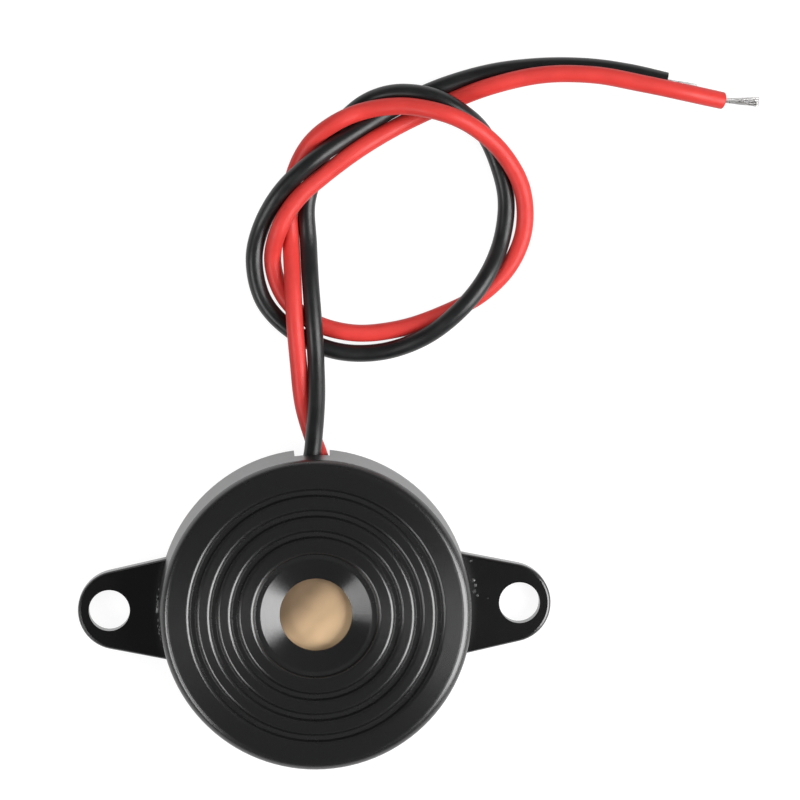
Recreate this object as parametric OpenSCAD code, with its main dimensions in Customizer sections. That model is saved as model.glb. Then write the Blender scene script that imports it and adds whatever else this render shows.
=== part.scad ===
// Round piezo buzzer with two mounting ears and two wire leads.
// It lies on its back: z = 0 is the mounting plane, +Z is the sound side, +X is one ear
// and +Y is the side where the leads come out. Lengths are in millimetres.

/* [Housing] */
// Radius of the housing at its back edge
base_r = 15.25; // [13.7:0.05:18]
// How much the side wall leans in over its height
draft = 0.25; // [0:0.05:0.5]
// Height of the housing from the mounting plane to the face
housing_h = 10; // [9:0.1:14]
// Radius of the rounded front edge
edge_r = 1; // [0.5:0.1:1.4]
// Wall around the main bore, at the front
wall_t = 1.3; // [1:0.05:2]
// Thickness of the front face
face_t = 1.6; // [1.5:0.1:2.2]
// Width of the ledge that the brass plate is bonded to
ledge_w = 1.1; // [0.7:0.1:1.6]
// Depth of the air space in front of the brass plate
air_gap = 0.6; // [0.4:0.1:2]

/* [Ringed face] */
// Radius of the sound hole
sound_hole_r = 3.5; // [2.5:0.1:4.2]
// Radius where the funnel around the sound hole begins
funnel_r = 5.35; // [4.8:0.05:5.7]
// Depth of the funnel
funnel_d = 0.65; // [0.3:0.05:0.8]
// Inner radius of the raised field that carries the grooves
field_r = 6.35; // [6.2:0.05:6.8]
// How far the funnel's rim lies below the raised field
step_d = 0.5; // [0.2:0.05:0.6]
// Number of ring grooves
groove_count = 3; // [1:1:3]
// Radius of the middle of the first groove
groove_first_r = 7.85; // [7.6:0.05:8.2]
// Distance from one groove to the next
groove_pitch = 2; // [1.6:0.05:2.1]
// Width of a groove at the level of the face
groove_w = 1.38; // [1.1:0.02:1.5]
// Depth of a groove
groove_d = 0.5; // [0.3:0.05:0.6]
// Slope of a groove's side walls, in degrees from the face
groove_slope = 65; // [45:5:80]
// Radius of the rounded lips
lip_r = 0.4; // [0.1:0.02:0.45]
// Radius in the corners of a groove's floor
floor_corner_r = 0.03; // [0.01:0.01:0.1]
// Slope of the outermost land, in degrees from the face
rim_slope = 4; // [0:0.5:5]

/* [Ears] */
// Distance between the two mounting holes
hole_pitch = 40; // [38:0.5:46]
// Diameter of a mounting hole
hole_d = 4; // [3:0.1:4.5]
// Thickness of an ear
ear_t = 2; // [1.5:0.1:3]
// Width of an ear where it leaves the housing
ear_root_w = 9.9; // [9:0.1:12]
// Radius of the ear's round end
ear_tip_r = 3.86; // [3.5:0.02:4.3]
// How far the round end's middle lies inside of the hole
ear_tip_shift = 0.8; // [0:0.1:1.2]
// Radius of the ear's rounded upper edge
ear_edge_r = 0.3; // [0.1:0.05:0.4]

/* [Cable notch] */
// Width of the notch in the side wall
notch_w = 3.5; // [3.2:0.1:5]
// Height of the notch above the mounting plane
notch_h = 5; // [4.9:0.1:6]

/* [Rear cover] */
// Wall left around the cover
cover_rim = 1.15; // [0.9:0.05:1.4]
// Thickness of the cover
cover_t = 1; // [0.8:0.1:1.5]
// How deep the cover is set into the back edge
cover_inset = 0.2; // [0.1:0.05:0.5]
// Free space all round between the cover and the housing
cover_gap = 0.1; // [0.05:0.01:0.2]
// Radius of the cover's chamfered back edge
cover_edge = 0.15; // [0.05:0.05:0.3]
// Distance from the middle of a post to the circuit board's edge
post_inset = 1.4; // [1.2:0.1:1.8]
// Radius of a post
post_r = 1; // [0.8:0.05:1.1]
// Radius of the pin on a post
pin_r = 0.5; // [0.4:0.05:0.6]
// Radius of the pin's melted head
pin_head_r = 0.85; // [0.75:0.05:1]
// Height of the pin's melted head
pin_head_h = 0.4; // [0.2:0.05:0.6]

/* [Sounder disc] */
// Thickness of the brass plate
plate_t = 0.25; // [0.15:0.05:0.4]
// Free space all round between the brass plate and the housing
plate_gap = 0.2; // [0.1:0.05:0.3]
// Bare rim of the brass plate around the piezo ceramic
plate_rim = 3.5; // [3:0.1:4.2]
// Thickness of the piezo ceramic
ceramic_t = 0.25; // [0.15:0.05:0.4]
// Bare rim of the ceramic around the electrodes
electrode_rim = 0.8; // [0.4:0.1:1.2]
// Thickness of the silver electrodes
electrode_t = 0.05; // [0.03:0.01:0.1]
// Width of the feedback electrode
feedback_w = 3; // [2.5:0.1:4]
// Length of the feedback electrode, inwards from the electrodes' edge
feedback_l = 6; // [5:0.5:7]
// Bare line between the two electrodes
electrode_split = 0.5; // [0.3:0.05:0.8]
// Height of the adhesive ring behind the plate's rim
adhesive_h = 0.5; // [0.3:0.1:1]

/* [Circuit board] */
// Free space all round between the circuit board and the housing
board_gap = 1.3; // [0.9:0.1:1.5]
// Free space for the leads between the board's flat edge and the housing
lead_room = 3.1; // [3:0.1:3.5]
// Thickness of the circuit board
board_t = 0.8; // [0.6:0.1:1]
// Free space between the board and the disc for the wires that join them
wire_space = 2.25; // [1.5:0.05:2.6]
// Free space around what passes through the board
pass_gap = 0.05; // [0.02:0.01:0.1]

/* [Inductor] */
// Radius of the drum core's flanges
drum_r = 2.6; // [2.2:0.1:3]
// Free space between the drum core and the rear cover
drum_gap = 0.3; // [0.1:0.05:0.6]
// Thickness of a flange
flange_t = 0.5; // [0.4:0.05:0.7]
// Radius of the drum's waist
waist_r = 1.2; // [1:0.1:1.5]
// Radius of the winding
winding_r = 2.2; // [1.8:0.1:2.2]
// Distance between the two pins
drum_pin_pitch = 3; // [2.4:0.1:3.4]
// Radius of a pin
drum_pin_r = 0.3; // [0.2:0.05:0.35]
// How far a pin stands out in front of the board
drum_pin_out = 0.5; // [0.3:0.1:0.7]

/* [Small parts] */
// Length of the transistor's body
transistor_l = 2.9; // [2.6:0.1:3.1]
// Width of the transistor's body
transistor_w = 1.3; // [1.2:0.1:1.5]
// Height of the transistor's body
transistor_h = 0.95; // [0.8:0.05:1.1]
// Width of a transistor lead
lead_w = 0.4; // [0.3:0.05:0.5]
// Thickness of a transistor lead
lead_t = 0.15; // [0.1:0.01:0.2]
// How far a transistor lead reaches out of the body before it bends
lead_shoulder = 0.35; // [0.25:0.05:0.5]
// Length of a transistor lead's foot on the board
lead_foot = 0.5; // [0.3:0.05:0.7]
// Distance between neighbouring transistor leads
lead_pitch = 0.95; // [0.9:0.05:1]
// Length of a chip resistor with its end caps
resistor_l = 3.2; // [2.8:0.1:3.4]
// Width of a chip resistor
resistor_w = 1.6; // [1.2:0.1:1.8]
// Height of a chip resistor
resistor_h = 0.55; // [0.4:0.05:0.7]
// Length of an end cap
cap_l = 0.45; // [0.3:0.05:0.6]

/* [Wiring] */
// Diameter of the two leads over their insulation
lead_d = 1.6; // [1.4:0.05:1.6]
// Diameter of a lead's bare conductor
conductor_d = 0.7; // [0.5:0.05:0.8]
// Length of bare conductor behind the board
inner_bare_l = 1.9; // [1.5:0.1:2.2]
// Radius of the solder joints on the leads
lead_solder_r = 0.9; // [0.8:0.05:1.1]
// Diameter of the wires to the disc
hookup_d = 0.6; // [0.4:0.05:0.7]
// Bend radius of the wires to the disc
hookup_bend = 0.7; // [0.6:0.05:0.9]
// Straight length of those wires along the board
hookup_run = 1.2; // [1:0.1:1.6]
// Radius of the solder joints on the wires to the disc
hookup_solder_r = 0.7; // [0.6:0.05:0.8]
// Height of the solder joints on the disc
disc_solder_h = 0.4; // [0.3:0.05:0.5]
// Thickness of the solder where it thins out along the wire
solder_skin = 0.1; // [0.05:0.01:0.15]
// Width of the glue around the leads
glue_w = 5.4; // [5.2:0.1:6]
// Length of the glue along the leads
glue_l = 0.9; // [0.6:0.1:1]
// How far the glue reaches above the notch
glue_over = 0.4; // [0.2:0.1:0.8]

/* [Hidden] */
$fn = 96;
// How far a cutting shape runs past what it cuts.
cut = 1;
// Share of the space for it that a corner radius may take.
fillet_limit = 0.9;

// Heights and radii that follow from the sizes above.
front_r = base_r - draft;
bore_r = front_r - wall_t;
cavity_r = bore_r - ledge_w;
face_back_z = housing_h - face_t;
ledge_z = face_back_z - air_gap;
cover_seat_z = cover_inset + cover_t;
rebate_r = base_r - cover_rim;
cover_r = rebate_r - cover_gap;
plate_r = bore_r - plate_gap;
plate_z = ledge_z - plate_t;
ceramic_r = plate_r - plate_rim;
ceramic_z = plate_z - ceramic_t;
electrode_r = ceramic_r - electrode_rim;
electrode_z = ceramic_z - electrode_t;
board_r = bore_r - board_gap;
board_flat_y = bore_r - lead_room;
board_top_z = electrode_z - wire_space;
board_z = board_top_z - board_t;
post_circle_r = board_r - post_inset;
drum_l = board_z - cover_seat_z - drum_gap;
lead_r = lead_d / 2;
conductor_r = conductor_d / 2;
hookup_r = hookup_d / 2;
ear_tip_x = hole_pitch / 2 - ear_tip_shift;

// Places on the circuit board.
post_angles = [30, 150, 270];
drum_at = [-5.5, -1.5];
transistor_at = [3.2, 3.6];
resistors_at = [[4.6, -1.2], [4.6, -4.2], [0.2, -6.6]];

// Places on the disc where its wires are soldered on: half-way across the plate's bare rim,
// near the main electrode's edge and on the feedback electrode.
plate_wire_at = [(ceramic_r + cavity_r) / 2, 0];
electrode_wire_at = (electrode_r - 2.1) * [cos(135), sin(135)];
feedback_wire_at = [0, feedback_l / 2 - electrode_r];

// Points along the middle of each lead, from its inner end to its outer end. Their y is
// counted from the main bore's wall.
lead_entry_z = board_z - 0.4;
red_route = from_bore([
    [1.7, -2.8, lead_entry_z], [1.1, -1.3, 3.1], [0.7, 1.1, 2.4], [0, 3.1, 2.1],
    [-0.8, 6.1, 1.9], [-1.2, 10.3, 2.3], [-1.5, 14.5, 2.6], [-1.6, 18.3, 2.1],
    [-1.7, 21.9, 0.9], [-1.8, 25.7, 0.8], [-1, 29.1, 0.9], [0.5, 31.6, 1.8],
    [2.8, 33.4, 2.6], [5.6, 34.5, 2.5], [9.4, 34.9, 3.4], [13.4, 34.1, 4.3],
    [16.2, 32.7, 3.6], [19, 30.1, 2.4], [20.8, 26.7, 1.6], [21, 22.7, 0.8],
    [19.6, 19.3, 0.8], [16.8, 16.5, 0.8], [12.8, 14.5, 0.8], [8.6, 13.2, 0.8],
    [4.2, 12.9, 0.8], [0.2, 14.1, 0.8], [-2.4, 16.5, 0.8], [-3.5, 19.9, 1],
    [-2.8, 23.3, 2.4], [-1, 26.1, 2.6], [1.8, 28.5, 2.4], [5.2, 30.9, 2.2],
    [8.8, 32.9, 1], [13.2, 34.9, 0.8], [18, 36.7, 2], [23, 37.7, 2.3],
    [28, 37.6, 2.4], [32.6, 36.7, 2.4], [36.6, 35.8, 2.2], [40.5, 34.9, 0.8]
]);
black_route = from_bore([
    [-1.4, -2.8, lead_entry_z], [-0.9, -1.3, 3.9], [-0.1, 1.1, 4.1], [0.2, 3.3, 3.8],
    [0.5, 6.7, 3], [0.5, 10.7, 2.5], [0.3, 14.7, 2.5], [0.1, 18.3, 2],
    [0, 21.7, 0.9], [-0.1, 25.5, 0.8], [0.8, 28.6, 0.8], [1.9, 31, 0.8],
    [3.4, 33.3, 0.8], [5.8, 35.3, 0.9], [8.8, 36.2, 2], [12.4, 35.7, 2.9],
    [15.2, 34.1, 2.5], [17.2, 32.1, 1], [18.5, 29.3, 0.8], [19.3, 25.7, 0.8],
    [18.8, 21.7, 0.9], [17.1, 18.1, 2.2], [14.6, 15.1, 2.6], [11.2, 12.5, 2],
    [6.8, 11, 0.9], [2.4, 11.2, 0.8], [-1.6, 13.1, 0.8], [-4.4, 16.1, 0.8],
    [-5.3, 20.1, 1], [-4.6, 23.3, 1.2], [-2.6, 26.8, 2.3], [0.6, 29.8, 2.9],
    [4.4, 32.3, 1.9], [8.6, 34.7, 0.8], [13.2, 36.7, 0.8], [18, 38, 0.8],
    [22.8, 38.5, 0.8], [27.4, 38.4, 0.8], [31.4, 37.8, 0.8], [35.1, 36.9, 0.8]
]);
// Where the bare outer ends of the conductors stop.
red_tip = [44.1, bore_r + 34.7, 0.5];
black_tip = [37.9, bore_r + 35.9, 0.4];
inwards = [0, -1, 0];

function from_bore(points) = [for (p = points) p + [0, bore_r, 0]];

function unit(v) = v / norm(v);

// Points of an arc in a plane, from angle a to angle b.
function arc(x, y, r, a, b, steps) =
    [for (i = [0:steps]) [x + r * cos(a + (b - a) * i / steps), y + r * sin(a + (b - a) * i / steps)]];

// The solid through a stack of rings that all have the same number of points. Seen from
// the last ring's side, each ring's points run anticlockwise.
module skin_rings(rings) {
    sides = len(rings[0]);
    last = len(rings) - 1;
    points = [for (ring = rings) each ring];
    walls = [
        for (j = [0:last - 1], i = [0:sides - 1])
            let (a = j * sides + i, b = j * sides + (i + 1) % sides)
                each [[a, b + sides, b], [a, a + sides, b + sides]]
    ];
    bottom = [for (i = [0:sides - 1]) i];
    top = [for (i = [sides - 1:-1:0]) last * sides + i];
    polyhedron(points, concat(walls, [bottom, top]), convexity = 6);
}

// A round bar between two points.
module bar(from, to, r) {
    d = to - from;
    translate(from)
        rotate([0, acos(d.z / norm(d)), atan2(d.y, d.x)])
            cylinder(r = r, h = norm(d));
}

// ---- Housing ----

// Section from the face down to a floor: a rounded lip, a sloping wall and the floor's
// corner. It starts at the radius r and runs outwards (side = 1) or inwards (side = -1).
function slope_down(r, side, depth) =
    let (
        drop = depth - (lip_r + floor_corner_r) * (1 - cos(groove_slope)),
        run = (lip_r + floor_corner_r) * sin(groove_slope) + drop / tan(groove_slope),
        lip = [r, housing_h - lip_r],
        corner = [r + side * run, housing_h - depth + floor_corner_r]
    )
        concat(
            [for (i = [0:5]) let (a = groove_slope * i / 5) lip + lip_r * [side * sin(a), cos(a)]],
            [for (i = [3:-1:0]) let (a = groove_slope * i / 3) corner - floor_corner_r * [side * sin(a), cos(a)]]
        );

// Section through one groove, from its outer lip to its inner lip.
function groove(r) =
    let (
        outer = slope_down(r + groove_w / 2, -1, groove_d),
        inner = slope_down(r - groove_w / 2, 1, groove_d)
    )
        concat(outer, [for (i = [len(inner) - 1:-1:0]) inner[i]]);

// Half section of the housing before it is hollowed, from the back edge round the outside.
// The rounded front edge runs into the outermost land, which rises to the outermost groove.
function outer_section() =
    let (
        land_r = groove_first_r + (groove_count - 1) * groove_pitch + groove_w / 2,
        rim_r = min(edge_r, fillet_limit * (front_r - land_r)),
        land_w = front_r - rim_r + rim_r * sin(rim_slope) - land_r,
        rim_z = housing_h - land_w * tan(rim_slope) - rim_r * cos(rim_slope)
    )
        concat(
            [[sound_hole_r, 0], [base_r, 0]],
            arc(front_r - rim_r, rim_z, rim_r, 0, 90 - rim_slope, 10),
            [for (i = [groove_count - 1:-1:0]) each groove(groove_first_r + i * groove_pitch)],
            slope_down(field_r, -1, step_d),
            [[funnel_r, housing_h - step_d], [sound_hole_r, housing_h - step_d - funnel_d]]
        );

// Half section of the space inside: cover seat, main bore and air space.
function hollow_section() = [
    [0, -cut],
    [rebate_r, -cut],
    [rebate_r, cover_seat_z],
    [bore_r, cover_seat_z],
    [bore_r, ledge_z],
    [cavity_r, ledge_z],
    [cavity_r, face_back_z],
    [0, face_back_z]
];

// Outline of the right ear, drawn in by some amount, at one height. Its straight sides
// touch the round end and run on into the housing.
function ear_ring(inset, z) =
    let (
        half = ear_root_w / 2 - inset,
        tip = ear_tip_r - inset,
        root = [sqrt(base_r * base_r - half * half), half],
        reach = norm([ear_tip_x - root.x, half]),
        side_a = 180 - acos(tip / reach) - atan2(half, ear_tip_x - root.x),
        touch = [ear_tip_x + tip * cos(side_a), tip * sin(side_a)],
        inner = 2 * root - touch
    )
        [
            for (p = concat(
                [inner, [inner.x, -inner.y]],
                arc(ear_tip_x, 0, tip, -side_a, side_a, 24)
            ))
                [p.x, p.y, z]
        ];

module ear() {
    skin_rings(concat(
        [ear_ring(0, 0)],
        [for (a = [0:30:90]) ear_ring(ear_edge_r * (1 - cos(a)), ear_t - ear_edge_r * (1 - sin(a)))]
    ));
}

module housing() {
    color([0.12, 0.12, 0.13])
        difference() {
            union() {
                rotate_extrude() polygon(outer_section());
                ear();
                rotate([0, 0, 180]) ear();
            }
            rotate_extrude() polygon(hollow_section());
            for (x = [-hole_pitch / 2, hole_pitch / 2])
                translate([x, 0, -cut]) cylinder(d = hole_d, h = ear_t + 2 * cut);
            translate([-notch_w / 2, cavity_r, -cut]) cube([notch_w, base_r - cavity_r + cut, notch_h + cut]);
        }
}

// ---- Rear cover ----

module rear_cover() {
    color([0.16, 0.16, 0.17]) {
        rotate_extrude()
            polygon([
                [0, cover_inset],
                [cover_r - cover_edge, cover_inset],
                [cover_r, cover_inset + cover_edge],
                [cover_r, cover_seat_z],
                [0, cover_seat_z]
            ]);
        at_posts() {
            translate([0, 0, cover_seat_z - cover_t / 2])
                cylinder(r = post_r, h = board_z - cover_seat_z + cover_t / 2);
            translate([0, 0, board_z - cut]) cylinder(r = pin_r, h = board_t + cut + pin_head_h / 2);
            translate([0, 0, board_top_z]) cylinder(r = pin_head_r, h = pin_head_h);
        }
    }
}

module at_posts() {
    for (a = post_angles)
        rotate([0, 0, a]) translate([post_circle_r, 0, 0]) children();
}

// ---- Sounder disc ----

module brass_plate() {
    color([0.8, 0.65, 0.4])
        translate([0, 0, plate_z]) cylinder(r = plate_r, h = plate_t);
}

module ceramic_disc() {
    color([0.85, 0.83, 0.78])
        translate([0, 0, ceramic_z]) cylinder(r = ceramic_r, h = ceramic_t);
}

// Flat tongue with a round inner end, reaching in from the electrodes' -Y edge.
module tongue(w, l) {
    translate([-w / 2, -electrode_r - cut]) square([w, l + cut - w / 2]);
    translate([0, -electrode_r + l - w / 2]) circle(d = w);
}

module main_electrode() {
    color([0.8, 0.8, 0.8])
        translate([0, 0, electrode_z])
            linear_extrude(electrode_t)
                difference() {
                    circle(r = electrode_r);
                    tongue(feedback_w + 2 * electrode_split, feedback_l + electrode_split);
                }
}

module feedback_electrode() {
    color([0.8, 0.8, 0.8])
        translate([0, 0, electrode_z])
            linear_extrude(electrode_t)
                intersection() {
                    circle(r = electrode_r);
                    tongue(feedback_w, feedback_l);
                }
}

module disc_adhesive() {
    color([0.9, 0.9, 0.88])
        translate([0, 0, plate_z - adhesive_h])
            difference() {
                cylinder(r = bore_r, h = adhesive_h);
                translate([0, 0, -cut]) cylinder(r = cavity_r, h = adhesive_h + 2 * cut);
            }
}

// ---- Circuit board and its parts, which sit on the board's rear side ----

module circuit_board() {
    color([0.1, 0.4, 0.2])
        translate([0, 0, board_z])
            difference() {
                cylinder(r = board_r, h = board_t);
                translate([-board_r, board_flat_y, -cut]) cube([2 * board_r, board_r, board_t + 2 * cut]);
                translate([0, 0, -cut]) {
                    at_posts() cylinder(r = pin_r + pass_gap, h = board_t + 2 * cut);
                    at_drum_pins() cylinder(r = drum_pin_r + pass_gap, h = board_t + 2 * cut);
                }
            }
}

module at_drum_pins() {
    for (side = [-1, 1])
        translate([drum_at.x + side * drum_pin_pitch / 2, drum_at.y, 0]) children();
}

module inductor_core() {
    color([0.2, 0.2, 0.2])
        translate([drum_at.x, drum_at.y, board_z - drum_l])
            rotate_extrude()
                polygon([
                    [0, 0], [drum_r, 0], [drum_r, flange_t], [waist_r, flange_t],
                    [waist_r, drum_l - flange_t], [drum_r, drum_l - flange_t], [drum_r, drum_l], [0, drum_l]
                ]);
}

module inductor_winding() {
    color([0.7, 0.35, 0.15])
        translate([drum_at.x, drum_at.y, board_z - drum_l + flange_t])
            difference() {
                cylinder(r = winding_r, h = drum_l - 2 * flange_t);
                translate([0, 0, -cut]) cylinder(r = waist_r, h = drum_l + 2 * cut);
            }
}

module inductor_pins() {
    color([0.75, 0.75, 0.75])
        translate([0, 0, board_z])
            at_drum_pins() cylinder(r = drum_pin_r, h = board_t + drum_pin_out);
}

module transistor_body() {
    color([0.1, 0.1, 0.1])
        translate([
            transistor_at.x - transistor_l / 2,
            transistor_at.y - transistor_w / 2,
            board_z - lead_t - transistor_h
        ])
            cube([transistor_l, transistor_w, transistor_h]);
}

// One bent lead: a shoulder beside the body, a riser and a foot on the board.
module transistor_lead() {
    drop = lead_t + transistor_h / 2;
    translate([-lead_w / 2, transistor_w / 2, board_z - drop]) {
        cube([lead_w, lead_shoulder, lead_t]);
        translate([0, lead_shoulder - lead_t, 0]) cube([lead_w, lead_t, drop]);
        translate([0, lead_shoulder - lead_t, drop - lead_t]) cube([lead_w, lead_foot, lead_t]);
    }
}

module transistor_leads() {
    color([0.75, 0.75, 0.75])
        translate([transistor_at.x, transistor_at.y, 0]) {
            transistor_lead();
            for (x = [-lead_pitch, lead_pitch])
                translate([x, 0, 0]) rotate([0, 0, 180]) transistor_lead();
        }
}

module resistor(at) {
    body_l = resistor_l - 2 * cap_l;
    color([0.12, 0.12, 0.14])
        translate([at.x - body_l / 2, at.y - resistor_w / 2, board_z - resistor_h])
            cube([body_l, resistor_w, resistor_h]);
}

module resistor_caps() {
    color([0.75, 0.75, 0.75])
        for (at = resistors_at, x = [at.x - resistor_l / 2, at.x + resistor_l / 2 - cap_l])
            translate([x, at.y - resistor_w / 2, board_z - resistor_h])
                cube([cap_l, resistor_w, resistor_h]);
}

// ---- Wires between the board and the disc ----

// A wire that lies on the board towards -X, bends up and ends at the height end_z.
module hookup_wire(end_z) {
    axis_z = board_top_z + hookup_r;
    translate([-hookup_bend - hookup_run, 0, axis_z])
        rotate([0, 90, 0]) cylinder(r = hookup_r, h = hookup_run);
    translate([-hookup_bend, 0, axis_z + hookup_bend])
        rotate([90, 0, 0])
            rotate([0, 0, -90]) rotate_extrude(angle = 90) translate([hookup_bend, 0]) circle(r = hookup_r);
    translate([0, 0, axis_z + hookup_bend]) cylinder(r = hookup_r, h = end_z - axis_z - hookup_bend);
}

module at_plate_wire() {
    translate(plate_wire_at) children();
}

module at_electrode_wire() {
    translate(electrode_wire_at) children();
}

module at_feedback_wire() {
    translate(feedback_wire_at) children();
}

module plate_wire() {
    color([0.85, 0.75, 0.2]) at_plate_wire() hookup_wire(plate_z);
}

module electrode_wire() {
    color([0.8, 0.2, 0.2]) at_electrode_wire() hookup_wire(electrode_z);
}

module feedback_wire() {
    color([0.2, 0.3, 0.8]) at_feedback_wire() hookup_wire(electrode_z);
}

// Solder cone around a wire's upper end, with its base on the disc.
module disc_joint(end_z) {
    difference() {
        translate([0, 0, end_z - disc_solder_h])
            cylinder(r1 = hookup_r + solder_skin, r2 = hookup_solder_r, h = disc_solder_h);
        translate([0, 0, end_z - disc_solder_h - cut]) cylinder(r = hookup_r, h = disc_solder_h + 2 * cut);
    }
}

module disc_solder() {
    color([0.7, 0.7, 0.7]) {
        at_plate_wire() disc_joint(plate_z);
        at_electrode_wire() disc_joint(electrode_z);
        at_feedback_wire() disc_joint(electrode_z);
    }
}

// Half-round solder joint on the board's front side around a wire's lower end.
module board_joint() {
    difference() {
        translate([-hookup_bend - hookup_run, 0, board_top_z])
            intersection() {
                sphere(r = hookup_solder_r);
                translate([-cut, -cut, 0]) cube([2 * cut, 2 * cut, cut]);
            }
        translate([-hookup_bend - hookup_run, 0, board_top_z + hookup_r])
            rotate([0, 90, 0]) cylinder(r = hookup_r, h = hookup_run);
    }
}

// Half-round solder joint on the board's rear side around a lead's bare conductor.
module lead_joint(start) {
    end_y = start.y - inner_bare_l;
    difference() {
        translate([start.x, end_y + lead_solder_r / 2, board_z])
            intersection() {
                sphere(r = lead_solder_r);
                translate([-lead_solder_r, -lead_solder_r, -lead_solder_r])
                    cube([2 * lead_solder_r, 2 * lead_solder_r, lead_solder_r]);
            }
        inner_conductor(start);
    }
}

module board_solder() {
    color([0.7, 0.7, 0.7]) {
        at_plate_wire() board_joint();
        at_electrode_wire() board_joint();
        at_feedback_wire() board_joint();
        lead_joint(red_route[0]);
        lead_joint(black_route[0]);
    }
}

// ---- Leads ----

// Direction of a route at one of its points, with the directions of its two ends given.
function heading(route, i, start, end) =
    i == 0 ? unit(start)
    : i == len(route) - 1 ? unit(end)
    : unit(unit(route[i + 1] - route[i]) + unit(route[i] - route[i - 1]));

// Eight-sided tube along a route.
module tube(route, r, start, end) {
    skin_rings([
        for (i = [0:len(route) - 1])
            let (
                t = heading(route, i, start, end),
                side = unit(cross(t, [0, 0, 1])),
                up = cross(side, t)
            )
                [for (a = [0:45:315]) route[i] + r * (cos(a) * side - sin(a) * up)]
    ]);
}

module red_lead() {
    color([0.9, 0.2, 0.18]) tube(red_route, lead_r, -inwards, red_tip - last_point(red_route));
}

module black_lead() {
    color([0.15, 0.15, 0.16]) tube(black_route, lead_r, -inwards, black_tip - last_point(black_route));
}

function last_point(route) = route[len(route) - 1];

// Bare conductor from the inner end of the insulation, flat against the board's rear side.
module inner_conductor(start) {
    from = [start.x, start.y, board_z - conductor_r];
    bar(from, from + inner_bare_l * inwards, conductor_r);
}

module red_strands() {
    color([0.75, 0.72, 0.68]) {
        inner_conductor(red_route[0]);
        bar(last_point(red_route), red_tip, conductor_r);
    }
}

module black_strands() {
    color([0.75, 0.72, 0.68]) {
        inner_conductor(black_route[0]);
        bar(last_point(black_route), black_tip, conductor_r);
    }
}

// Glue between the leads, the cover and the wall, with a bore for each lead.
module lead_glue() {
    color([0.8, 0.78, 0.7])
        difference() {
            intersection() {
                translate([0, 0, cover_seat_z])
                    cylinder(r = bore_r, h = notch_h + glue_over - cover_seat_z);
                translate([-glue_w / 2, bore_r - glue_l, 0])
                    cube([glue_w, glue_l + cut, notch_h + glue_over]);
            }
            bar(red_route[1], red_route[2], lead_r);
            bar(black_route[1], black_route[2], lead_r);
        }
}

housing();
rear_cover();
brass_plate();
ceramic_disc();
main_electrode();
feedback_electrode();
disc_adhesive();
circuit_board();
inductor_core();
inductor_winding();
inductor_pins();
transistor_body();
transistor_leads();
resistor(resistors_at[0]);  // resistor_1
resistor(resistors_at[1]);  // resistor_2
resistor(resistors_at[2]);  // resistor_3
resistor_caps();
plate_wire();
electrode_wire();
feedback_wire();
board_solder();
disc_solder();
lead_glue();
red_lead();
black_lead();
red_strands();
black_strands();
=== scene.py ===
"""Looks of the piezo buzzer: its finishes, its two wire leads, the light and the camera.

Everything is in metres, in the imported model's own frame: +Z is the sound side, +X is one ear
and +Y is the side where the leads come out.
"""

import math
import random

import bpy
from mathutils import Matrix, Vector, noise


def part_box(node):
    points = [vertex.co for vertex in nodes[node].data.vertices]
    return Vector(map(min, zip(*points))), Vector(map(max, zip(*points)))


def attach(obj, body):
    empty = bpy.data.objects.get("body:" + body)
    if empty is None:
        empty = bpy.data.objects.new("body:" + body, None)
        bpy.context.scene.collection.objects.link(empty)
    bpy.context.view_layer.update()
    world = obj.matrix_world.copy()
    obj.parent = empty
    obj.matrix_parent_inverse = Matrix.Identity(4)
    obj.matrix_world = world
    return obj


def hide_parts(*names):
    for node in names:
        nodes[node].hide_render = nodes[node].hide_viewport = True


MM = 0.001
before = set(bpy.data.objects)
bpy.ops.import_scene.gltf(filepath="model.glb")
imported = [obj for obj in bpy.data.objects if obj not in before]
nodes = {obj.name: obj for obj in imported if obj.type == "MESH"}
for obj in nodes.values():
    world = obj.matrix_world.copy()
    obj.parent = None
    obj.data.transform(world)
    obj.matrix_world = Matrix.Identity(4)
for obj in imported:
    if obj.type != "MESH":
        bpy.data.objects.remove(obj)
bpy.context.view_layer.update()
scene = bpy.context.scene
scene.view_settings.view_transform = "Standard"


# ---- Camera ----

def add_camera():
    """Looks almost straight down, from a little beyond the leads, with a long lens."""
    place = Vector((-0.0082, 0.057, 0.5))
    aim = Vector((0.0087, 0.0199, 0))
    field_width = 0.07812
    roll = math.radians(0.88)
    data = bpy.data.cameras.new("camera")
    data.sensor_width = 36
    data.lens = data.sensor_width * (aim - place).length / field_width
    data.clip_start = 0.01
    camera = bpy.data.objects.new("camera", data)
    scene.collection.objects.link(camera)
    forward = (aim - place).normalized()
    level_right = forward.cross(Vector((0, 1, 0))).normalized()
    level_up = level_right.cross(forward)
    right = math.cos(roll) * level_right - math.sin(roll) * level_up
    up = math.sin(roll) * level_right + math.cos(roll) * level_up
    turn = Matrix((right, up, -forward)).transposed()
    camera.matrix_world = Matrix.Translation(place) @ turn.to_4x4()
    scene.camera = camera


# ---- Mesh helpers ----

def add_mesh(name, points, faces):
    """A new smooth-shaded piece."""
    mesh = bpy.data.meshes.new(name)
    mesh.from_pydata(points, [], faces)
    mesh.validate()
    for polygon in mesh.polygons:
        polygon.use_smooth = True
    piece = bpy.data.objects.new(name, mesh)
    scene.collection.objects.link(piece)
    return piece


def set_material(piece, material):
    """Gives the whole piece one material."""
    piece.data.materials.clear()
    piece.data.materials.append(material)


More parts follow.
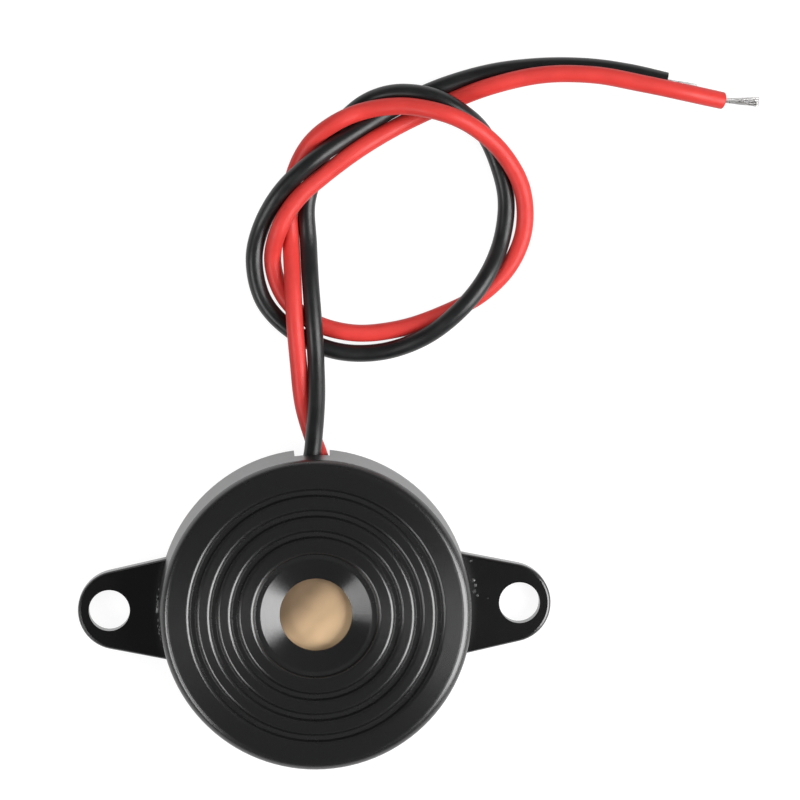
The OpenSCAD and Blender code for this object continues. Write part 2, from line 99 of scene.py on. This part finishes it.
def catmull_rom(points, per_span):
    """Smooth curve through the points, of the centripetal kind, which makes no loops."""
    guides = [2 * points[0] - points[1], *points, 2 * points[-1] - points[-2]]
    curve = []
    for a, b, c, d in zip(guides, guides[1:], guides[2:], guides[3:]):
        ta = 0
        tb = ta + math.sqrt((b - a).length)
        tc = tb + math.sqrt((c - b).length)
        td = tc + math.sqrt((d - c).length)
        for step in range(per_span):
            t = tb + (tc - tb) * step / per_span
            ab = a.lerp(b, (t - ta) / (tb - ta))
            bc = b.lerp(c, (t - tb) / (tc - tb))
            cd = c.lerp(d, (t - tc) / (td - tc))
            abc = ab.lerp(bc, (t - ta) / (tc - ta))
            bcd = bc.lerp(cd, (t - tb) / (td - tb))
            curve.append(abc.lerp(bcd, (t - tb) / (tc - tb)))
    curve.append(points[-1].copy())
    return curve


def even_steps(curve, step):
    """The same curve with its points an equal distance apart."""
    lengths = [0.0]
    for a, b in zip(curve, curve[1:]):
        lengths.append(lengths[-1] + (b - a).length)
    count = max(2, round(lengths[-1] / step))
    evened = []
    span = 0
    for i in range(count + 1):
        wanted = lengths[-1] * i / count
        while span < len(curve) - 2 and lengths[span + 1] < wanted:
            span += 1
        share = (wanted - lengths[span]) / (lengths[span + 1] - lengths[span])
        evened.append(curve[span].lerp(curve[span + 1], min(max(share, 0), 1)))
    return evened


def path_frames(path):
    """Direction, side and up at each point of a path, turning no more than the path does."""
    directions = []
    for i in range(len(path)):
        before = path[max(i - 1, 0)]
        after = path[min(i + 1, len(path) - 1)]
        directions.append((after - before).normalized())
    up = Vector((0, 0, 1))
    frames = []
    for direction in directions:
        up = (up - direction * up.dot(direction)).normalized()
        frames.append((direction, direction.cross(up), up))
    return frames


def tube_mesh(path, radii, sides):
    """Points and faces of a closed tube along a path, with its own radius at each point."""
    points = []
    faces = []
    for centre, (_, side, up), radius in zip(path, path_frames(path), radii):
        for k in range(sides):
            angle = 2 * math.pi * k / sides
            points.append(centre + radius * (math.cos(angle) * side + math.sin(angle) * up))
    for j in range(len(path) - 1):
        for k in range(sides):
            a = j * sides + k
            b = j * sides + (k + 1) % sides
            faces.append((a, b, b + sides, a + sides))
    last = (len(path) - 1) * sides
    faces.append(tuple(reversed(range(sides))))
    faces.append(tuple(range(last, last + sides)))
    return points, faces


# ---- Materials ----

def principled(name, color, roughness, metallic=0.0, specular=0.5):
    """A new material and its shader, with the values that are the same all over it."""
    material = bpy.data.materials.new(name)
    material.use_nodes = True
    shader = material.node_tree.nodes["Principled BSDF"]
    shader.inputs["Base Color"].default_value = (*color, 1)
    shader.inputs["Roughness"].default_value = roughness
    shader.inputs["Metallic"].default_value = metallic
    shader.inputs["Specular IOR Level"].default_value = specular
    return material, shader


def noise_texture(material, feature, detail=3):
    """Noise in object space whose features are about the given size in metres."""
    tree = material.node_tree
    place = tree.nodes.new("ShaderNodeTexCoord")
    texture = tree.nodes.new("ShaderNodeTexNoise")
    texture.inputs["Scale"].default_value = 1 / feature
    texture.inputs["Detail"].default_value = detail
    tree.links.new(place.outputs["Object"], texture.inputs["Vector"])
    return texture.outputs["Fac"]


def map_range(tree, value, from_min, from_max, to_min, to_max):
    """The value moved linearly from one span to another, and kept within it."""
    span = tree.nodes.new("ShaderNodeMapRange")
    span.inputs["From Min"].default_value = from_min
    span.inputs["From Max"].default_value = from_max
    span.inputs["To Min"].default_value = to_min
    span.inputs["To Max"].default_value = to_max
    tree.links.new(value, span.inputs["Value"])
    return span.outputs["Result"]


def between(tree, value, start, end):
    """0 at the start and 1 at the end, held beyond both, for distances given in millimetres."""
    return map_range(tree, value, start * MM, end * MM, 0, 1)


def combine(tree, operation, first, *others):
    """Result of one operation, such as a product or a comparison, over several values."""
    result = first
    for other in others:
        node = tree.nodes.new("ShaderNodeMath")
        node.operation = operation
        tree.links.new(result, node.inputs[0])
        tree.links.new(other, node.inputs[1])
        result = node.outputs["Value"]
    return result


def separate(tree, vector):
    """X, Y and Z values of a vector."""
    split = tree.nodes.new("ShaderNodeSeparateXYZ")
    tree.links.new(vector, split.inputs["Vector"])
    return split.outputs["X"], split.outputs["Y"], split.outputs["Z"]


def axis_distance(tree, x, y):
    """Distance from the Z axis."""
    flat = tree.nodes.new("ShaderNodeCombineXYZ")
    tree.links.new(x, flat.inputs["X"])
    tree.links.new(y, flat.inputs["Y"])
    length = tree.nodes.new("ShaderNodeVectorMath")
    length.operation = "LENGTH"
    tree.links.new(flat.outputs["Vector"], length.inputs[0])
    return length.outputs["Value"]


def near(tree, vector, point, reach):
    """1 round a point, falling to 0 at the reach, both given in millimetres."""
    away = tree.nodes.new("ShaderNodeVectorMath")
    away.operation = "DISTANCE"
    away.inputs[1].default_value = Vector(point) * MM
    tree.links.new(vector, away.inputs[0])
    return between(tree, away.outputs["Value"], reach, 0.4 * reach)


def vary_color(material, shader, value, first, second, low=0.35, high=0.65):
    """Base colour that runs between two colours with a value."""
    tree = material.node_tree
    ramp = tree.nodes.new("ShaderNodeValToRGB")
    ramp.color_ramp.elements[0].position = low
    ramp.color_ramp.elements[0].color = (*first, 1)
    ramp.color_ramp.elements[1].position = high
    ramp.color_ramp.elements[1].color = (*second, 1)
    tree.links.new(value, ramp.inputs["Fac"])
    tree.links.new(ramp.outputs["Color"], shader.inputs["Base Color"])
    return ramp


def vary_roughness(material, shader, value, least, most):
    """Roughness that runs between two levels with a value."""
    tree = material.node_tree
    tree.links.new(map_range(tree, value, 0.25, 0.75, least, most), shader.inputs["Roughness"])


def add_bump(material, shader, value, height, strength=1.0):
    """Relief of the given height in metres."""
    tree = material.node_tree
    bump = tree.nodes.new("ShaderNodeBump")
    bump.inputs["Distance"].default_value = height
    bump.inputs["Strength"].default_value = strength
    tree.links.new(value, bump.inputs["Height"])
    tree.links.new(bump.outputs["Normal"], shader.inputs["Normal"])


# Places on the housing, in millimetres: the level of the ears' upper side, then the middle and
# reach of the mould flash at the left ear's root and of the nick in the wall, and last the x, y
# and reach of each speck of dust where the right ear starts.
EAR_TOP = 2
FLASH = ((-15.3, -0.4, EAR_TOP), 3.2)
NICK = ((-13.1, 7.7, 8), 0.35)
DUST = [
    (15.5, 2.3, 0.2), (15.7, 1.8, 0.18), (15.6, 1.2, 0.2), (15.9, 0.8, 0.16),
    (15.3, 4.2, 0.14), (15.9, 4.5, 0.08), (16.9, 0.5, 0.09), (18.1, -1.3, 0.08),
]


def streak_across_rings(tree, shader, land, funnel):
    """Draws highlights out across the fine rings, most of all in the funnel."""
    least = 0.2
    streak = combine(
        tree, "MAXIMUM",
        map_range(tree, land, 0, 1, least, 0.66), map_range(tree, funnel, 0, 1, least, 0.82),
    )
    tree.links.new(streak, shader.inputs["Anisotropic"])
    around = tree.nodes.new("ShaderNodeTangent")
    around.direction_type = "RADIAL"
    around.axis = "Z"
    tree.links.new(around.outputs["Tangent"], shader.inputs["Tangent"])
    shader.inputs["Anisotropic Rotation"].default_value = 0.25


def outer_wall(tree, radius):
    """1 on the upright wall of the body, falling to 0 round it."""
    normal = tree.nodes.new("ShaderNodeNewGeometry").outputs["Normal"]
    upright = map_range(tree, separate(tree, normal)[2], 0.5, 0.1, 0, 1)
    return combine(
        tree, "MULTIPLY", between(tree, radius, 14.8, 15), between(tree, radius, 15.6, 15.4), upright
    )


def flash_and_dust(material, place, radius, z):
    """1 on the flakes of mould flash along the left ear's root and on the dust by the right one."""
    tree = material.node_tree
    seam = combine(
        tree, "MULTIPLY", between(tree, radius, 15.45, 15.3), between(tree, z, 2.3, EAR_TOP),
        near(tree, place, *FLASH),
    )
    flakes = map_range(tree, noise_texture(material, 0.35 * MM, 4), 0.5, 0.62, 0, 1)
    specks = [near(tree, place, (x, y, EAR_TOP), size) for x, y, size in DUST]
    dust = combine(tree, "MAXIMUM", *specks)
    loose = map_range(tree, noise_texture(material, 0.12 * MM), 0.42, 0.6, 0, 1)
    return combine(
        tree, "MAXIMUM", combine(tree, "MULTIPLY", seam, flakes), combine(tree, "MULTIPLY", dust, loose)
    )


def moulded_plastic():
    """Glossy black plastic, with highlights stretched as fine rings from a turned mould would."""
    black = (0.0025, 0.0025, 0.0026)
    dust_grey = (0.1, 0.1, 0.1)
    plain_roughness = 0.27
    turned_roughness = 0.255
    wall_roughness = 0.33
    ear_share = 0.8
    # Painted shade: how much lighter the body is painted than the ears.
    painted_body_lift = 0.065
    material, shader = principled("housing_plastic", black, 0.25, specular=1.0)
    tree = material.node_tree
    place = tree.nodes.new("ShaderNodeTexCoord").outputs["Object"]
    x, y, z = separate(tree, place)
    radius = axis_distance(tree, x, y)
    land = between(tree, z, 9.82, 9.9)
    funnel = combine(tree, "MULTIPLY", between(tree, radius, 5.5, 5.4), between(tree, z, 8.5, 8.7))
    streak_across_rings(tree, shader, land, funnel)

    # The ears are the glossiest, and the wall is the dullest.
    turned = combine(tree, "MAXIMUM", land, funnel)
    wall = outer_wall(tree, radius)
    ears = map_range(tree, radius, 15.4 * MM, 16 * MM, 1, ear_share)
    level = map_range(tree, turned, 0, 1, plain_roughness, turned_roughness)
    gloss = combine(tree, "MULTIPLY", level, ears)
    rough = combine(tree, "MAXIMUM", gloss, map_range(tree, wall, 0, 1, 0, wall_roughness))
    uneven = map_range(tree, noise_texture(material, 1.2 * MM, 5), 0.3, 0.7, -0.008, 0.008)
    tree.links.new(combine(tree, "ADD", rough, uneven), shader.inputs["Roughness"])

    # The body is a shade lighter than the ears. This is painted shade: the ears are darker only to stand in
    # for the weaker light they reflect.
    dirt = flash_and_dust(material, place, radius, z)
    lighter = map_range(tree, radius, 15.4 * MM, 15.7 * MM, painted_body_lift, 0)
    shade = combine(tree, "ADD", dirt, lighter)
    vary_color(material, shader, shade, black, dust_grey, 0, 1)

    grain = map_range(tree, noise_texture(material, 0.15 * MM), 0.3, 0.7, 0, 0.06)
    wall_grain = combine(tree, "MULTIPLY", grain, wall)
    relief = combine(tree, "MAXIMUM", wall_grain, near(tree, place, *NICK), dirt)
    add_bump(material, shader, relief, 0.05 * MM)
    return material


def cover_plastic():
    """Dull black plastic with a fine grain."""
    material, shader = principled("cover_plastic", (0.02, 0.02, 0.021), 0.5, specular=0.45)
    vary_roughness(material, shader, noise_texture(material, 1.5 * MM, 4), 0.42, 0.58)
    add_bump(material, shader, noise_texture(material, 0.2 * MM, 4), 0.006 * MM, 0.8)
    return material


def rolled_brass():
    """Satin brass sheet with a soft diagonal sheen painted into its colour: painted shade towards -X and +Y,
    a painted highlight towards +X and -Y.
    """
    # The first colour is painted shadow and the last a painted highlight; the middle one is the brass itself.
    shadow = (0.215, 0.146, 0.086)
    body = (0.58, 0.402, 0.238)
    painted_sheen = (0.76, 0.537, 0.318)
    material, shader = principled("brass_sheet", body, 0.5, metallic=0.6)
    tree = material.node_tree
    place = tree.nodes.new("ShaderNodeTexCoord")
    turn = tree.nodes.new("ShaderNodeMapping")
    turn.inputs["Rotation"].default_value = (0, 0, math.radians(47))
    tree.links.new(place.outputs["Object"], turn.inputs["Vector"])
    diagonal = separate(tree, turn.outputs["Vector"])[0]
    cloud = map_range(tree, noise_texture(material, 2 * MM), 0.3, 0.7, -0.1 * MM, 0.1 * MM)
    across = combine(tree, "ADD", diagonal, cloud)
    # Painted light: the base colour runs from painted shadow on one side of the sheet, through the plain
    # brass, to a painted highlight on the other.
    ramp = vary_color(material, shader, between(tree, across, -2.3, 2.5), shadow, painted_sheen, 0, 1)
    ramp.color_ramp.elements.new(0.58).color = (*body, 1)
    ramp.color_ramp.interpolation = "EASE"
    vary_roughness(material, shader, noise_texture(material, 0.8 * MM), 0.45, 0.6)
    return material


def insulation(name, dark, light, roughness, specular):
    """Wire insulation with slightly uneven colour and gloss, and a fine grain."""
    material, shader = principled(name, light, roughness, specular=specular)
    vary_color(material, shader, noise_texture(material, 3 * MM, 4), dark, light)
    vary_roughness(material, shader, noise_texture(material, 0.9 * MM, 4), roughness - 0.06, roughness + 0.08)
    add_bump(material, shader, noise_texture(material, 0.3 * MM, 4), 0.006 * MM, 0.7)
    return material


def plain_metal(name, color, roughness, feature=0.3 * MM):
    """Metal with a little unevenness in gloss and surface."""
    material, shader = principled(name, color, roughness, metallic=1.0)
    grain = noise_texture(material, feature, 4)
    vary_roughness(material, shader, grain, roughness - 0.08, roughness + 0.12)
    add_bump(material, shader, grain, 0.004 * MM, 0.7)
    return material


def plain_matte(name, color, roughness, feature=0.6 * MM, height=0.01 * MM):
    """Non-metal with a little unevenness in colour, gloss and surface."""
    spread = 0.12
    material, shader = principled(name, color, roughness)
    grain = noise_texture(material, feature, 5)
    darker = tuple(c * (1 - spread) for c in color)
    lighter = tuple(min(1, c * (1 + spread)) for c in color)
    vary_color(material, shader, grain, darker, lighter)
    vary_roughness(material, shader, grain, roughness - 0.05, roughness + 0.05)
    add_bump(material, shader, grain, height, 0.5)
    return material


def wound_copper():
    """Enamelled copper wire in close turns round a vertical axis."""
    turn_pitch = 0.6 * MM
    material, shader = principled("copper_winding", (0.55, 0.2, 0.08), 0.3, metallic=1.0)
    tree = material.node_tree
    place = tree.nodes.new("ShaderNodeTexCoord")
    turns = tree.nodes.new("ShaderNodeTexWave")
    turns.bands_direction = "Z"
    turns.inputs["Scale"].default_value = 1 / turn_pitch
    tree.links.new(place.outputs["Object"], turns.inputs["Vector"])
    add_bump(material, shader, turns.outputs["Fac"], 0.05 * MM)
    return material


def finish_cad_nodes():
    """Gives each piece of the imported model, other than the leads, the finish of its material."""
    tinned = plain_metal("tinned_metal", (0.72, 0.71, 0.68), 0.3)
    solder = plain_metal("solder", (0.6, 0.6, 0.6), 0.28, feature=0.5 * MM)
    silver = plain_metal("silver_layer", (0.8, 0.79, 0.76), 0.5, feature=0.2 * MM)
    chip = plain_matte("chip_black", (0.03, 0.03, 0.032), 0.55)
    finishes = {
        "housing": moulded_plastic(),
        "rear_cover": cover_plastic(),
        "brass_plate": rolled_brass(),
        "ceramic_disc": plain_matte("piezo_ceramic", (0.72, 0.69, 0.62), 0.7),
        "main_electrode": silver,
        "feedback_electrode": silver,
        "disc_adhesive": plain_matte("silicone", (0.78, 0.78, 0.75), 0.45, height=0.03 * MM),
        "circuit_board": plain_matte("board_laminate", (0.03, 0.2, 0.07), 0.4, feature=1.5 * MM),
        "inductor_core": plain_matte("ferrite", (0.05, 0.05, 0.052), 0.65),
        "inductor_winding": wound_copper(),
        "inductor_pins": tinned,
        "transistor_body": chip,
        "transistor_leads": tinned,
        "resistor_1": chip,
        "resistor_2": chip,
        "resistor_3": chip,
        "resistor_caps": tinned,
        "plate_wire": plain_matte("yellow_insulation", (0.7, 0.52, 0.06), 0.45),
        "electrode_wire": plain_matte("hookup_red", (0.55, 0.04, 0.035), 0.45),
        "feedback_wire": plain_matte("hookup_blue", (0.04, 0.09, 0.42), 0.45),
        "board_solder": solder,
        "disc_solder": solder,
        "lead_glue": plain_matte("glue", (0.62, 0.6, 0.52), 0.35, feature=1.2 * MM, height=0.04 * MM),
    }
    for name, material in finishes.items():
        set_material(nodes[name], material)


# ---- Leads ----

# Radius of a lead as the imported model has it, and as it is drawn here.
SOURCE_RADIUS = 0.8 * MM
LEAD_RADIUS = 0.84 * MM
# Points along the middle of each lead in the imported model, from its inner end to its outer end.
RED_ROUTE = [
    (0.0017, 0.0109, 0.0038), (0.0011, 0.0124, 0.0031), (0.0007, 0.0148, 0.0024), (0, 0.0168, 0.0021),
    (-0.0008, 0.0198, 0.0019), (-0.0012, 0.024, 0.0023), (-0.0015, 0.0282, 0.0026), (-0.0016, 0.032, 0.0021),
    (-0.0017, 0.0356, 0.0009), (-0.0018, 0.0394, 0.0008), (-0.001, 0.0428, 0.0009), (0.0005, 0.0453, 0.0018),
    (0.0028, 0.0471, 0.0026), (0.0056, 0.0482, 0.0025), (0.0094, 0.0486, 0.0034), (0.0134, 0.0478, 0.0043),
    (0.0162, 0.0464, 0.0036), (0.019, 0.0438, 0.0024), (0.0208, 0.0404, 0.0016), (0.021, 0.0364, 0.0008),
    (0.0196, 0.033, 0.0008), (0.0168, 0.0302, 0.0008), (0.0128, 0.0282, 0.0008), (0.0086, 0.0269, 0.0008),
    (0.0042, 0.0266, 0.0008), (0.0002, 0.0278, 0.0008), (-0.0024, 0.0302, 0.0008), (-0.0035, 0.0336, 0.001),
    (-0.0028, 0.037, 0.0024), (-0.001, 0.0398, 0.0026), (0.0018, 0.0422, 0.0024), (0.0052, 0.0446, 0.0022),
    (0.0088, 0.0466, 0.001), (0.0132, 0.0486, 0.0008), (0.018, 0.0504, 0.002), (0.023, 0.0514, 0.0023),
    (0.028, 0.0513, 0.0024), (0.0326, 0.0504, 0.0024), (0.0366, 0.0495, 0.0022), (0.0405, 0.0486, 0.0008),
]
BLACK_ROUTE = [
    (-0.0014, 0.0109, 0.0038), (-0.0009, 0.0124, 0.0039), (-0.0001, 0.0148, 0.0041), (0.0002, 0.017, 0.0038),
    (0.0005, 0.0204, 0.003), (0.0005, 0.0244, 0.0025), (0.0003, 0.0284, 0.0025), (0.0001, 0.032, 0.002),
    (0, 0.0354, 0.0009), (-0.0001, 0.0392, 0.0008), (0.0008, 0.0423, 0.0008), (0.0019, 0.0447, 0.0008),
    (0.0034, 0.047, 0.0008), (0.0058, 0.049, 0.0009), (0.0088, 0.0499, 0.002), (0.0124, 0.0494, 0.0029),
    (0.0152, 0.0478, 0.0025), (0.0172, 0.0458, 0.001), (0.0185, 0.043, 0.0008), (0.0193, 0.0394, 0.0008),
    (0.0188, 0.0354, 0.0009), (0.0171, 0.0318, 0.0022), (0.0146, 0.0288, 0.0026), (0.0112, 0.0262, 0.002),
    (0.0068, 0.0247, 0.0009), (0.0024, 0.0249, 0.0008), (-0.0016, 0.0268, 0.0008), (-0.0044, 0.0298, 0.0008),
    (-0.0053, 0.0338, 0.001), (-0.0046, 0.037, 0.0012), (-0.0026, 0.0405, 0.0023), (0.0006, 0.0435, 0.0029),
    (0.0044, 0.046, 0.0019), (0.0086, 0.0484, 0.0008), (0.0132, 0.0504, 0.0008), (0.018, 0.0517, 0.0008),
    (0.0228, 0.0522, 0.0008), (0.0274, 0.0521, 0.0008), (0.0314, 0.0515, 0.0008), (0.0351, 0.0506, 0.0008),
]
# Where the bare outer ends of the conductors stop.
RED_TIP = Vector((0.0441, 0.0484, 0.0005))
BLACK_TIP = Vector((0.038, 0.05, 0.0003))
# Radius of each fine wire of a conductor, and length of the conductor's bare inner end.
STRAND_RADIUS = 0.08 * MM
INNER_BARE = 1.9 * MM


def lead_path(route):
    """The lead's centre line, smooth and nowhere lower than where it lies on the ground.

    Its heights grow with the lead's thickness. Where the two leads lie side by side they still
    press into each other, by about 0.06 mm at most.
    """
    rise = LEAD_RADIUS / SOURCE_RADIUS
    steps_per_span = 24
    ring_distance = 0.3 * MM
    guides = [Vector((x, y, rise * z)) for x, y, z in route]
    smooth = even_steps(catmull_rom(guides, steps_per_span), ring_distance)
    return [Vector((p.x, p.y, max(p.z, LEAD_RADIUS))) for p in smooth]


def add_lead(name, route, material, seed):
    """A lead as a tube with a slightly uneven thickness and rounded rims at its two cut ends."""
    sides = 28
    noise_step = 0.08
    noise_share = 0.015
    path = lead_path(route)
    radii = []
    for i in range(len(path)):
        unevenness = noise.noise(Vector((i * noise_step, seed, 0)))
        radii.append(LEAD_RADIUS * (1 + noise_share * unevenness))
    points, faces = tube_mesh(path, radii, sides)
    lead = add_mesh(name, points, faces)
    round_cut_edge(lead)
    set_material(lead, material)
    return lead, path


def round_cut_edge(lead):
    """Bevels the sharp rims of the two cut ends."""
    bevel = lead.modifiers.new("rim", "BEVEL")
    bevel.width = 0.04 * MM
    bevel.segments = 3
    bevel.limit_method = "ANGLE"
    bevel.angle_limit = math.radians(60)


def bundle_places():
    """Ring radius (as a share) and angle of each fine wire in a bundle of twelve."""
    places = [(0.42, 2 * math.pi * k / 3) for k in range(3)]
    places += [(1.0, 2 * math.pi * k / 9) for k in range(9)]
    return places


def strand(points, faces, path):
    """Adds one fine wire to a growing list of points and faces."""
    own_points, own_faces = tube_mesh(path, [STRAND_RADIUS] * len(path), 8)
    offset = len(points)
    points.extend(own_points)
    faces.extend(tuple(i + offset for i in face) for face in own_faces)


def outer_bundle(points, faces, start, tip, spread, rng):
    """Adds a bare outer end: fine wires that twist round each other and open towards the tip."""
    hidden = 0.5 * MM
    steps = 16
    twist = 1.4
    shortening = 0.02
    width_at_start = 0.1
    flattening = 0.45
    direction = (tip - start).normalized()
    side = direction.cross(Vector((0, 0, 1))).normalized()
    up = side.cross(direction)
    begin = start - hidden * direction
    length = (tip - begin).length
    for ring, angle in bundle_places():
        path = []
        reach = length * (1 - shortening * rng.random())
        for step in range(steps + 1):
            along = step / steps
            turn = angle + twist * along
            open_out = (width_at_start + spread * along) * ring * MM
            across = math.cos(turn) * open_out
            upward = math.sin(turn) * open_out * (1 - flattening * along)
            path.append(begin + direction * reach * along + side * across + up * upward)
        strand(points, faces, path)


def inner_bundle(points, faces, start):
    """Adds a bare inner end: a straight bundle under the circuit board."""
    below_board = 0.35 * MM
    bundle_radius = 0.25 * MM
    begin = Vector((start.x, start.y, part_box("circuit_board")[0].z - below_board))
    for ring, angle in bundle_places():
        place = begin + bundle_radius * ring * Vector((math.cos(angle), 0, math.sin(angle)))
        strand(points, faces, [place, place + Vector((0, -INNER_BARE, 0))])


def add_strands(name, start, tip, inner_start, spread, material, seed):
    """The bare ends of one lead's conductor, as bundles of fine tinned wires."""
    points = []
    faces = []
    outer_bundle(points, faces, start, tip, spread, random.Random(seed))
    inner_bundle(points, faces, inner_start)
    strands = add_mesh(name, points, faces)
    set_material(strands, material)
    return strands


def add_leads():
    """Both leads with their bare ends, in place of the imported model's plain tubes and bars."""
    red = insulation("red_insulation", (0.59, 0.038, 0.032), (0.66, 0.045, 0.038), 0.42, 0.3)
    black = insulation("black_insulation", (0.007, 0.0075, 0.008), (0.011, 0.0115, 0.012), 0.36, 0.5)
    tinned = plain_metal("tinned_strands", (0.72, 0.71, 0.7), 0.3, feature=0.15 * MM)
    for name, route, tip, material, spread, seed in (
        ("red", RED_ROUTE, RED_TIP, red, 0.3, 3),
        ("black", BLACK_ROUTE, BLACK_TIP, black, 0.08, 8),
    ):
        lead, path = add_lead(f"{name}_lead_insulation", route, material, seed)
        strands = add_strands(
            f"{name}_lead_strands", path[-1], tip, Vector(route[0]), spread, tinned, seed
        )
        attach(lead, "root")
        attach(strands, "root")
        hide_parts(f"{name}_lead")
        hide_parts(f"{name}_strands")


# ---- Floor and light ----

def background_rays(tree):
    """Values that are 1 for what the camera sees directly, and for what shows in gloss or glass."""
    rays = tree.nodes.new("ShaderNodeLightPath")
    mirrored = combine(tree, "MAXIMUM", rays.outputs["Is Glossy Ray"], rays.outputs["Is Transmission Ray"])
    return rays.outputs["Is Camera Ray"], mirrored


def add_floor():
    """White floor that takes the part's shadow and still shows as white to the camera."""
    size = 3
    gap_below_part = 0.02 * MM
    seen_by_camera = 0.9
    seen_in_gloss = 0.8
    floor = add_mesh(
        "floor", [(-size, -size, 0), (size, -size, 0), (size, size, 0), (-size, size, 0)], [(0, 1, 2, 3)]
    )
    floor.location.z = -gap_below_part
    material, shader = principled("floor_white", (0.2, 0.2, 0.2), 0.9, specular=0.1)
    tree = material.node_tree
    camera, mirrored = background_rays(tree)
    glow = combine(
        tree, "MAXIMUM",
        map_range(tree, camera, 0, 1, 0, seen_by_camera), map_range(tree, mirrored, 0, 1, 0, seen_in_gloss),
    )
    shader.inputs["Emission Color"].default_value = (1, 1, 1, 1)
    tree.links.new(glow, shader.inputs["Emission Strength"])
    set_material(floor, material)


def set_world():
    """Pale all round at eye level and dim overhead; the camera sees plain white."""
    light_at_horizon = 0.4
    gloss_at_horizon = 0.6
    overhead = 0.06
    world = bpy.data.worlds.new("studio")
    world.use_nodes = True
    scene.world = world
    tree = world.node_tree
    background = tree.nodes["Background"]
    place = tree.nodes.new("ShaderNodeTexCoord")
    fade = tree.nodes.new("ShaderNodeMapRange")
    fade.interpolation_type = "SMOOTHSTEP"
    fade.inputs["From Min"].default_value = 0.02
    fade.inputs["From Max"].default_value = 0.3
    fade.inputs["To Max"].default_value = overhead
    camera, mirrored = background_rays(tree)
    tree.links.new(separate(tree, place.outputs["Generated"])[2], fade.inputs["Value"])
    horizon = map_range(tree, mirrored, 0, 1, light_at_horizon, gloss_at_horizon)
    tree.links.new(horizon, fade.inputs["To Min"])
    strength = combine(tree, "MAXIMUM", fade.outputs["Result"], camera)
    tree.links.new(strength, background.inputs["Strength"])
    background.inputs["Color"].default_value = (1, 1, 1, 1)


def add_softbox(name, azimuth, elevation, width, height, radiance):
    """Large area lamp that faces the part from a direction given in degrees."""
    distance = 0.5
    data = bpy.data.lights.new(name, "AREA")
    data.shape = "RECTANGLE"
    data.size = width
    data.size_y = height
    data.energy = radiance * math.pi * width * height
    lamp = bpy.data.objects.new(name, data)
    scene.collection.objects.link(lamp)
    a = math.radians(azimuth)
    e = math.radians(elevation)
    towards = Vector((math.cos(e) * math.cos(a), math.cos(e) * math.sin(a), math.sin(e)))
    lamp.location = distance * towards
    lamp.rotation_euler = towards.to_track_quat("Z", "Y").to_euler()
    return lamp


def add_lights():
    """A softbox on each side, and a fill from above that shows in no reflection."""
    add_softbox("right_softbox", azimuth=-13, elevation=41, width=0.35, height=0.4, radiance=7.6)
    add_softbox("left_softbox", azimuth=206, elevation=42, width=0.33, height=0.13, radiance=8)
    fill = add_softbox("overhead_fill", azimuth=90, elevation=50, width=0.6, height=0.6, radiance=1.3)
    fill.visible_glossy = False


add_camera()
add_leads()
finish_cad_nodes()
add_floor()
set_world()
add_lights()
